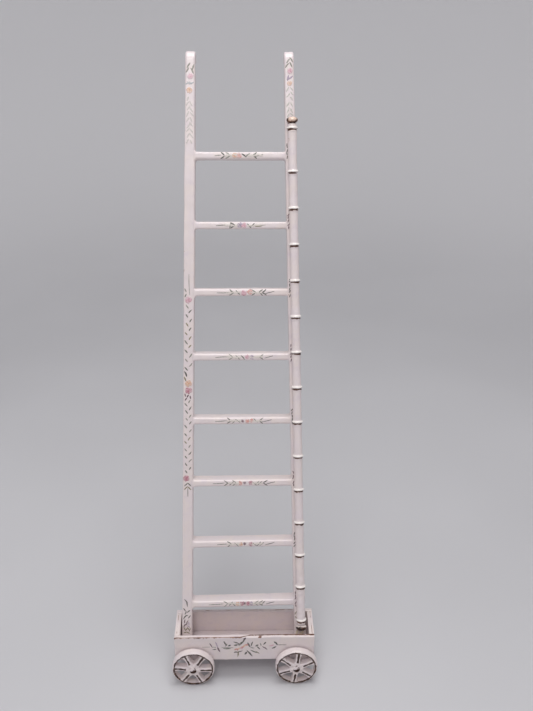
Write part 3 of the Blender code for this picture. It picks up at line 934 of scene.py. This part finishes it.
def build_bead(end, height, seed, material):
    count = 22
    profile = []
    for k in range(count + 1):
        angle = -math.pi / 2 + math.pi * k / count
        radius = max(0.05, BEAD_RADIUS * math.cos(angle) ** 0.82) if 0 < k < count else 0.05
        profile.append((radius, BEAD_HALF_HEIGHT * math.sin(angle)))
    bead = turned(profile, 44)
    roughen(bead, seed, (0.07, 1.0), (0.03, 0.4))
    name = "handrail_bead_" + end
    depth = -(BEAD_RADIUS + JOINT_GAP) + 0.2
    place = RAILS["right"] @ Matrix.Translation((POLE_OFFSET, depth, height))
    add_piece(name + "_looks", bead, place, material, replaced=(name,))


# ---- painted flowers and leaves --------------------------------------------------------------------
LEAF_DARK = srgb(56, 62, 50)
LEAF = srgb(98, 103, 90)
SAGE = srgb(142, 142, 130)
OLIVE = srgb(128, 120, 84)
PALE_LEAF = srgb(200, 198, 189)
FAINT_LEAF = srgb(212, 206, 200)
WASH = srgb(226, 217, 210)
PINK = srgb(218, 170, 182)
ROSE = srgb(186, 116, 132)
CORAL = srgb(216, 152, 138)
ORANGE = srgb(220, 174, 138)
PALE_ORANGE = srgb(230, 188, 158)
PALE_PINK = srgb(226, 186, 196)
MAUVE = srgb(170, 152, 174)
PLUM = srgb(88, 56, 70)
HAZE = srgb(178, 182, 184)
SMEAR = srgb(234, 223, 196)


class Decor:
    """Brush strokes on a piece's front. A point (a, b) lies a to the right of origin and b above it."""

    def __init__(self, host, place, origin, seed):
        self.host, self.place = host, place
        self.origin, self.across, self.up = Vector(origin), Vector((1, 0, 0)), Vector((0, 0, 1))
        self.out = self.across.cross(self.up)
        self.bm = bmesh.new()
        self.pigment = self.bm.verts.layers.float_color.new("pigment")
        self.chance = random.Random(seed)

    def on_face(self, a, b, rise):
        """A point on the host's surface, lifted by rise."""
        above = self.origin + self.across * a + self.up * b + self.out * 3.0
        hit = surfaces[self.host].ray_cast(above, -self.out)[0]
        if hit is None or (above - hit).length > 4.5:
            hit = above - self.out * 3.0
        return hit + self.out * rise

    def stroke(self, points, width, colour, pointed=True):
        """One touch of the brush along (a, b) points."""
        path = [Vector(p) for p in points]
        count = 7
        lengths = [0.0]
        for start, end in zip(path, path[1:]):
            lengths.append(lengths[-1] + (end - start).length)
        rows = []
        for k in range(count + 1):
            share = k / count
            along = share * lengths[-1]
            leg = max(i for i in range(len(path) - 1) if lengths[i] <= along + 1e-9)
            start, end = path[leg], path[leg + 1]
            spot = start + (end - start) * ((along - lengths[leg]) / max(1e-6, (end - start).length))
            side = (end - start).normalized().orthogonal()
            full = math.sin(math.pi * (0.05 + 0.90 * share)) ** (0.65 if pointed else 0.35)
            half = width / 2 * full * self.chance.uniform(0.88, 1.08)
            row = []
            for shift, rise, pale in ((-1.0, -0.02, 0.45), (-0.5, BRUSH_RISE * 0.8, 0.08),
                                      (0.0, BRUSH_RISE, 0.0), (0.5, BRUSH_RISE * 0.8, 0.08),
                                      (1.0, -0.02, 0.45), (0.0, -0.05, 0.0)):
                at = spot + side * (shift * half)
                vert = self.bm.verts.new(self.on_face(at.x, at.y, rise))
                mixed = [c + (w - c) * pale for c, w in zip(colour, WHITE)]
                vert[self.pigment] = mixed
                row.append(vert)
            rows.append(row)
        for low, high in zip(rows, rows[1:]):
            for k in range(6):
                after = (k + 1) % 6
                self.bm.faces.new((low[k], low[after], high[after], high[k]))
        self.bm.faces.new(rows[0])
        self.bm.faces.new(list(reversed(rows[-1])))

    def leaf(self, a, b, angle, length, width, colour):
        """A leaf centred on (a, b), pointing along angle in degrees, a little bent."""
        angle = math.radians(angle + self.chance.uniform(-7, 7))
        along = Vector((math.cos(angle), math.sin(angle))) * length / 2
        bend = along.orthogonal() * self.chance.uniform(-0.16, 0.16)
        middle_point = Vector((a, b))
        self.stroke([middle_point - along, middle_point + bend, middle_point + along], width, colour)

    def leaves(self, spots, length, width, colour):
        """Leaves of one size and colour; each spot is (a, b, angle)."""
        for a, b, angle in spots:
            self.leaf(a, b, angle, length, width, colour)

    def stem(self, start, end, colour, width=0.20):
        start, end = Vector(start), Vector(end)
        bend = (end - start).orthogonal() * self.chance.uniform(-0.03, 0.03)
        self.stroke([start, (start + end) / 2 + bend, end], width, colour, pointed=False)

    def blossom(self, a, b, size, colour, heart):
        """A loose heap of fat dabs, paler outside, with a few darker touches of the heart's colour."""
        for k in range(7):
            angle = 51.4 * k + self.chance.uniform(-18, 18)
            out = size * self.chance.uniform(0.20, 0.30)
            pale = self.chance.uniform(0.0, 0.55)
            tint = [c + (w - c) * pale for c, w in zip(colour, WHITE)]
            turn = math.radians(angle)
            self.leaf(a + out * math.cos(turn), b + out * math.sin(turn),
                      angle + self.chance.uniform(30, 90), size * 0.50, size * 0.42, tint)
        self.leaf(a, b, self.chance.uniform(0, 180), size * 0.62, size * 0.50, colour)
        for k in range(3):
            spot = [at + size * self.chance.uniform(-0.22, 0.22) for at in (a, b)]
            self.leaf(*spot, self.chance.uniform(0, 180), size * 0.30, size * 0.17, heart)

    def chevron(self, a, side, reach, colour, width):
        """Two leaves meeting at (a, 0), opening to the left (side -1) or to the right (side 1)."""
        for rise in (-1, 1):
            self.leaf(a + side * reach * 0.5, rise * reach * 0.31, rise * side * 36, reach * 1.15, width,
                      colour)

    def finish(self, name):
        add_piece(name, self.bm, self.place, PIGMENT)


# One spray for each tread, lowest first: marks from left to right, in millimetres from the middle.
SPRAYS = {
    1: [("stem", -11.2, -6.4), (">", -4.9), ("/", -4.0), ("\\", -3.1), ("orange", -1.8), ("rose", -0.4),
        ("plum", 0.5), ("rose", 1.7), ("mauve", 2.7), ("<", 3.6), ("<", 5.0), ("/", 6.6),
        ("stem", 7.4, 10.2)],
    2: [("stem", -8.3, -5.1), (">", -3.6), ("\\", -2.0), ("orange", -0.6), ("plum", 0.6), ("rose", 2.6),
        ("\\", 3.9), ("/", 5.2), ("/", 6.1), ("stem", 7.3, 10.2)],
    3: [("stem", -9.4, -5.7), (">", -4.4), ("/", -3.4), (">", -1.8), ("coral", -0.6), ("plum", 0.7),
        ("rose", 2.6), ("\\", 3.9), ("/", 4.7), ("/", 5.6), ("<", 6.6), ("stem", 7.6, 10.4)],
    4: [("stem", -8.4, -4.7), (">", -3.3), ("/", -2.6), ("\\", -1.3), ("plum", 0.2), ("coral", 1.7),
        ("coral", 3.0), ("\\", 4.3), ("<", 5.3), ("stem", 6.3, 9.4)],
    5: [("stem", -8.1, -3.9), (">", -2.6), ("\\", -1.2), ("\\", 0.4), ("pink", 1.7), ("mauve", 3.2),
        ("<", 5.4), ("stem", 7.1, 9.8)],
    6: [("stem", -7.5, -3.4), (">", -2.2), ("\\", -1.0), ("pink", 0.8), ("coral", 2.7), (">", 4.6),
        ("<", 5.3), ("<", 6.4), ("stem", 7.4, 10.2)],
    7: [("stem", -7.5, -4.0), ("|", -3.2), (">", -1.8), ("mauve", -0.3), ("pink", 1.0), ("\\", 2.6),
        ("/", 3.5), ("leafstem", 4.5, 7.6)],
    8: [("stem", -7.7, -5.8), (">", -4.5), (">", -3.0), ("orange", -1.7), ("coral", -0.5), ("\\", 1.1),
        ("/", 2.2), ("<", 3.6), ("stem", 4.4, 6.9)],
}
FLOWERS = {"coral": (CORAL, ROSE), "rose": (ROSE, PLUM), "plum": (PLUM, ROSE), "orange": (ORANGE, CORAL),
           "pink": (PINK, ROSE), "mauve": (MAUVE, PLUM)}


def paint_tread(number):
    decor = Decor("tread_%d_looks" % number, tread_place(number), (0.0, 0.0, tread_height(number)),
                  100 + number)
    greens = [LEAF, LEAF_DARK, SAGE, LEAF]
    bold = 1.25 if number >= 6 else 1.0
    for a in (-3.6, -1.6, 3.4, 5.2):
        decor.leaf(a + decor.chance.uniform(-0.3, 0.3), 0.0, 0.0, 2.6, 1.5, WASH)
    for k, (mark, a, *rest) in enumerate(SPRAYS[number]):
        green = greens[(k + number) % len(greens)]
        if mark == "stem":
            rise = 0.10 if a < 0 else 0.35
            decor.stem((a, -rise), (rest[0], rise), LEAF if a < 0 else LEAF_DARK, 0.30)
        elif mark == "leafstem":
            decor.leaf(a + 0.9, -0.3, 12, 2.1, 0.55, OLIVE)
            decor.stem((a + 1.2, -0.2), (rest[0], 0.15), SAGE)
        elif mark in FLOWERS:
            colour, heart = FLOWERS[mark]
            size = 1.10 if mark == "plum" else 1.60
            decor.blossom(a, decor.chance.uniform(-0.15, 0.15), size * bold, colour, heart)
        elif mark == ">":
            decor.chevron(a, -1, 1.45, green, 0.45 * bold)
        elif mark == "<":
            decor.chevron(a, 1, 1.45, green, 0.45 * bold)
        else:
            slant = {"/": 44, "\\": -42, "|": 80}[mark]
            decor.leaf(a, decor.chance.uniform(-0.25, 0.15), slant, 1.85, 0.46 * bold, green)
    decor.finish(decor.host.replace("looks", "spray"))


def vine(decor, low, high, step, colours, length=1.40, width=0.52):
    """Leaves up a rail, to the left and to the right in turn."""
    spread, tilt = 0.60, 36
    height, side = low, -1
    while height < high:
        wander = decor.chance.uniform(-0.2, 0.2)
        long = length * decor.chance.uniform(0.8, 1.15)
        decor.leaf(side * spread + wander, height, 90 - side * tilt, long, width,
                   colours[decor.chance.randrange(len(colours))])
        height += step * decor.chance.uniform(0.85, 1.15)
        side = -side


def pale_chevrons(decor, low, high, step, colour):
    """Faint pairs of leaves that meet in the middle of a rail, pointing up; some have worn off."""
    spread, worn_off = 0.50, 0.12
    count = int((high - low) / step)
    for k in range(count + 1):
        for side in (-1, 1):
            height = low + step * k + decor.chance.uniform(-0.35, 0.35)
            tilt = decor.chance.uniform(20, 40)
            if decor.chance.random() > worn_off:
                decor.leaf(side * spread + decor.chance.uniform(-0.15, 0.15), height, 90 + side * tilt,
                           decor.chance.uniform(1.3, 2.0), 0.55, colour)


def rail_decor(side):
    return Decor("rail_%s_looks" % side, RAILS[side], (0, 0, 0), 200 + len(side))


def paint_left_rail():
    decor = rail_decor("left")
    deep = (LEAF, SAGE, LEAF, OLIVE)
    pale_chevrons(decor, 153.6, 166.2, 1.55, FAINT_LEAF)
    decor.blossom(-0.1, 168.2, 2.0, PALE_ORANGE, ORANGE)
    decor.leaves(((-0.6, 170.2, 35), (0.4, 170.2, 20), (-0.1, 170.2, 160)), 1.7, 0.6, HAZE)
    decor.blossom(0.1, 172.1, 1.9, PALE_PINK, PINK)
    decor.leaves(((-0.8, 173.9, 58), (0.6, 173.7, 122), (-0.4, 175.2, 58), (0.9, 174.7, 70)),
                 1.8, 0.6, SAGE)
    decor.stem((0.0, 114.0), (0.25, 107.6), SAGE, 0.28)
    decor.leaves(((-1.0, 109.0, 120), (-1.0, 107.4, 60)), 1.2, 0.45, LEAF)
    decor.blossom(-0.1, 106.0, 2.5, PINK, ROSE)
    vine(decor, 84.6, 104.6, 1.42, deep)
    decor.leaf(-0.9, 83.0, 118, 1.9, 0.7, LEAF_DARK)
    decor.leaf(-1.0, 81.4, 110, 1.6, 0.6, OLIVE)
    decor.blossom(0.1, 80.0, 2.6, ORANGE, CORAL)
    decor.blossom(0.15, 77.7, 2.5, ROSE, PINK)
    decor.leaves(((-0.9, 76.3, 110), (-0.1, 76.0, 60), (0.7, 75.6, 110), (-0.7, 75.0, 60)),
                 1.1, 0.55, PLUM)
    vine(decor, 51.6, 74.8, 1.16, deep, length=1.3, width=0.5)
    decor.blossom(-0.5, 49.4, 2.2, ROSE, ROSE)
    for height, colour in ((47.4, LEAF), (46.2, OLIVE)):
        for lean in (-1, 1):
            decor.leaf(lean * 0.55, height, 90 + lean * 42, 1.6, 0.5, colour)
    decor.stem((0.0, 46.2), (0.05, 43.4), LEAF, 0.30)
    decor.stroke([(-0.9, 8.9), (-0.1, 8.0), (0.1, 6.3)], 0.50, LEAF_DARK)
    decor.leaves(((-0.85, 5.3, -55), (0.5, 4.7, 40), (-0.5, 4.2, 62), (0.75, 2.9, 50),
                  (-0.3, 3.2, 30), (-0.8, 2.6, 60)), 1.3, 0.48, LEAF_DARK)
    for a, b, angle in ((-0.7, 1.3, 80), (0.1, 1.1, 60), (0.6, 0.5, 100), (-0.3, 0.2, 30),
                        (0.4, -0.4, -30), (-0.8, -0.2, 75)):
        decor.leaf(a, b, angle, 1.4, 0.42, PLUM if a < 0.2 else MAUVE)
    decor.leaves(((-0.8, -1.2, -60), (-0.2, -1.4, 60), (0.4, -1.2, -55), (0.9, -1.5, 65),
                  (-0.5, -2.5, 20), (0.3, -2.6, -30)), 1.3, 0.42, OLIVE)
    decor.finish("rail_left_vine")


def paint_right_rail():
    decor = rail_decor("right")
    pale_chevrons(decor, 159.6, 168.6, 1.5, PALE_LEAF)
    decor.blossom(0.0, 170.2, 1.7, PALE_ORANGE, HAZE)
    decor.leaves(((-0.4, 171.8, 70), (0.3, 171.8, 30)), 1.7, 0.7, MAUVE)
    decor.blossom(0.2, 173.7, 1.9, PINK, ROSE)
    decor.leaves(((-0.6, 175.3, 58), (0.5, 175.5, 122), (-0.3, 176.6, 60), (0.6, 176.9, 120)),
                 1.7, 0.6, SAGE)
    for number in range(1, TREADS + 1):
        height = tread_height(number)
        for rise in (3.4, 2.4, 1.4, 0.3, -0.7):
            shift = decor.chance.uniform(-0.3, 0.3)
            decor.leaf(-1.1, height + rise + shift, decor.chance.uniform(50, 110), 1.0, 0.42,
                       (LEAF_DARK, PLUM)[number % 2])
    decor.leaves(((-1.1, 3.7, 60), (-1.1, 2.1, -70), (-0.9, -1.4, -50), (0.6, -1.5, 40),
                  (-0.3, -2.2, 20)), 1.2, 0.40, OLIVE)
    decor.leaves(((-0.9, -3.2, 70), (0.2, -4.0, 95), (0.9, -3.1, 60), (-0.4, -5.2, 85),
                  (0.8, -5.4, 75)), 2.6, 0.95, SMEAR)
    decor.finish("rail_right_vine")


def paint_front_panel():
    """A wide spray round one coral flower; a runs from the panel's middle and b up from its own."""
    decor = Decor("trolley_front_panel_looks", TROLLEY, (0.0, 0.0, (BOX_TOP + BOX_BOTTOM) / 2), 300)
    longer, wider = 1.08, 1.15
    for start, end, colour in (((-13.7, 0.7), (-11.1, 0.8), SAGE), ((-10.4, 0.75), (-9.1, 0.7), LEAF),
                               ((-7.4, 0.55), (-3.6, 0.35), LEAF),
                               ((10.2, 1.35), (13.5, 1.3), LEAF_DARK)):
        decor.stem(start, end, colour, 0.32)
    for a, b, angle, length, width, colour in (
            (-10.8, 1.5, -65, 2.0, 0.40, PLUM), (-9.0, 1.9, -68, 2.2, 0.42, MAUVE),
            (-9.7, -0.2, 5, 1.2, 0.45, LEAF_DARK), (-8.3, -0.3, -64, 2.0, 0.60, PLUM),
            (-6.2, 2.2, -66, 1.9, 0.60, LEAF_DARK), (-5.9, 1.5, 60, 1.2, 0.40, LEAF),
            (-4.9, 1.3, 35, 1.0, 0.65, LEAF_DARK), (-5.7, 0.1, 4, 2.3, 0.55, LEAF),
            (-2.8, 1.5, 10, 1.2, 0.75, LEAF_DARK), (-2.5, 2.4, -22, 2.1, 0.50, LEAF_DARK),
            (-1.2, 2.1, 60, 1.8, 0.80, LEAF), (-0.7, 2.9, 57, 3.6, 0.60, LEAF_DARK),
            (0.1, 4.0, 60, 1.1, 0.80, PLUM), (-1.9, 1.6, 20, 1.4, 0.50, LEAF),
            (-2.9, -1.5, 15, 1.1, 0.60, LEAF_DARK), (-2.2, -2.2, 86, 2.3, 0.50, OLIVE),
            (-1.5, -1.3, 18, 1.8, 0.45, LEAF_DARK), (0.35, -1.9, 60, 1.2, 0.75, LEAF_DARK),
            (1.6, -2.0, -52, 2.9, 0.60, LEAF_DARK), (1.4, 1.5, -70, 1.9, 0.65, LEAF_DARK),
            (2.4, 1.9, 68, 1.8, 0.48, LEAF_DARK), (2.5, 0.2, -15, 1.2, 0.40, LEAF),
            (3.2, -1.3, -28, 2.8, 0.50, LEAF), (4.2, -1.7, -38, 1.4, 0.40, OLIVE),
            (4.0, 1.2, 30, 1.0, 0.70, LEAF_DARK), (4.5, 0.2, -50, 1.4, 0.50, LEAF_DARK),
            (5.2, 1.6, -70, 1.2, 0.45, SAGE), (6.5, 2.1, 60, 1.3, 0.55, LEAF_DARK),
            (6.5, 0.1, -38, 2.0, 0.45, PLUM), (8.7, 1.2, 15, 1.5, 0.55, PINK),
            (10.0, 2.1, -40, 1.6, 0.65, LEAF_DARK), (9.5, 0.3, 35, 1.5, 0.65, LEAF_DARK)):
        decor.leaf(a, b, angle, length * longer, width * wider, colour)
    for a, b, angle, length, colour in ((-2.7, -0.3, 20, 1.3, CORAL), (-1.9, -0.1, 60, 1.1, PALE_ORANGE),
                                        (-0.8, 0.6, 30, 1.2, CORAL), (-0.1, 1.1, 75, 1.1, PALE_ORANGE),
                                        (0.7, 1.6, 10, 1.4, CORAL), (-1.0, 0.1, 10, 1.0, PALE_PINK)):
        decor.leaf(a, b, angle, length, 0.80, colour)
    decor.leaves(((-2.9, -0.3, 20), (-2.2, -0.5, 80), (0.9, 1.7, 10), (-0.5, 0.5, 60)),
                 0.75, 0.36, ROSE)
    decor.finish("trolley_front_panel_spray")


# ---- everything ----------------------------------------------------------------------------------
build_trolley()
for axle_side in ("left", "right"):
    build_axle(axle_side)
    build_axle_block(axle_side)
for wheel_seed, (wheel_end, wheel_side) in enumerate((e, s) for e in ("front", "rear")
                                                     for s in ("left", "right")):
    build_wheel(wheel_end, wheel_side, 10 + wheel_seed)
build_rail("left", 51)
build_rail("right", 52)
for tread_number in range(1, TREADS + 1):
    build_tread(tread_number)
    paint_tread(tread_number)
build_pole()
build_bead("bottom", END_NODES[0] - BEAD_REACH, 71, FOOT_GILT)
build_bead("top", END_NODES[1] + BEAD_REACH, 72, TOP_GILT)
paint_left_rail()
paint_right_rail()
paint_front_panel()


# ---- studio: a shallow round bowl for a floor, soft lights and the camera ----------------------------
def stage_material():
    shade = Shading("studio_floor")
    tone = shade.mix(shade.cloud(6.0, 2.0, 0.3, 0.7), srgb(204, 203, 206), srgb(210, 209, 212))
    # paler further out: painted light that makes the dimly lit far wall of the bowl look as bright as
    # the floor
    away = shade.add("ShaderNodeVectorMath", operation="LENGTH")
    shade.feed(away.inputs[0], shade.place)
    tone = shade.mix(shade.remap(away.outputs["Value"], 0.25, 0.75), tone, srgb(246, 245, 247))
    rough = shade.cloud(900.0, 3.0, 0.3, 0.7, 0.62, 0.72)
    normal = shade.bump(shade.noise(1800.0, 3.0), 0.03 * MM, 0.2)
    return shade.finish(tone, rough, normal)


def build_floor():
    """Flat under the ladder, and rising far away all round, so that no horizon shows."""
    flat, rise, turn = 460.0, 900.0, 360.0
    profile = [(radius, 0.0) for radius in (60.0, 200.0, flat)]
    for k in range(1, 11):
        angle = math.pi / 2 * k / 10
        profile.append((flat + turn * math.sin(angle), turn * (1 - math.cos(angle))))
    profile.append((flat + turn, rise))
    segments = 96
    bm = bmesh.new()
    angles = [2 * math.pi * k / segments for k in range(segments)]
    rows = [[bm.verts.new((r * math.cos(angle), r * math.sin(angle), z)) for angle in angles]
            for r, z in profile]
    bm.faces.new(rows[0])
    for low, high in zip(rows, rows[1:]):
        for k in range(segments):
            after = (k + 1) % segments
            bm.faces.new((low[k], high[k], high[after], low[after]))
    set_in_scene("studio_floor", finished_mesh("studio_floor", bm, stage_material()))


def add_light(name, place, target, size, power):
    light = bpy.data.lights.new(name, "AREA")
    light.shape = "DISK"
    light.size = size * MM
    light.energy = power
    lamp = set_in_scene(name, light)
    lamp.location = Vector(place) * MM
    lamp.rotation_mode = "QUATERNION"
    lamp.rotation_quaternion = (Vector(target) - Vector(place)).to_track_quat("-Z", "Y")


def build_studio():
    build_floor()
    add_light("key", (-40.0, -270.0, 410.0), (0.0, 10.0, 100.0), 190.0, 0.49)
    add_light("overhead", (30.0, -20.0, 620.0), (0.0, 0.0, 0.0), 320.0, 1.46)
    add_light("left_fill", (-420.0, -160.0, 200.0), (0.0, 0.0, 90.0), 260.0, 0.10)
    world = bpy.data.worlds.new("studio")
    world.use_nodes = True
    world.node_tree.nodes["Background"].inputs["Color"].default_value = (0.5, 0.5, 0.51, 1.0)
    world.node_tree.nodes["Background"].inputs["Strength"].default_value = 0.57
    bpy.context.scene.world = world
    bpy.context.scene.view_settings.view_transform = "Standard"


def build_camera():
    """Level with the ladder's top, in front of the trolley and looking down on it."""
    ahead, above, aside = 195.7, 184.8, 1.80
    yaw, pitch, roll = -0.0246, 0.4152, 0.0048
    data = bpy.data.cameras.new("camera")
    data.lens = 40.14
    camera = set_in_scene("camera", data)
    turn = (Matrix.Rotation(yaw, 4, "Z") @ Matrix.Rotation(math.pi / 2 - pitch, 4, "X")
            @ Matrix.Rotation(roll, 4, "Z"))
    spot = Vector((middle("trolley_front_panel").x + aside, PANEL_LOW.y - ahead, BOX_TOP + above))
    camera.matrix_world = Matrix.Translation(spot * MM) @ turn
    data.clip_start = 0.01
    bpy.context.scene.camera = camera


build_studio()
build_camera()
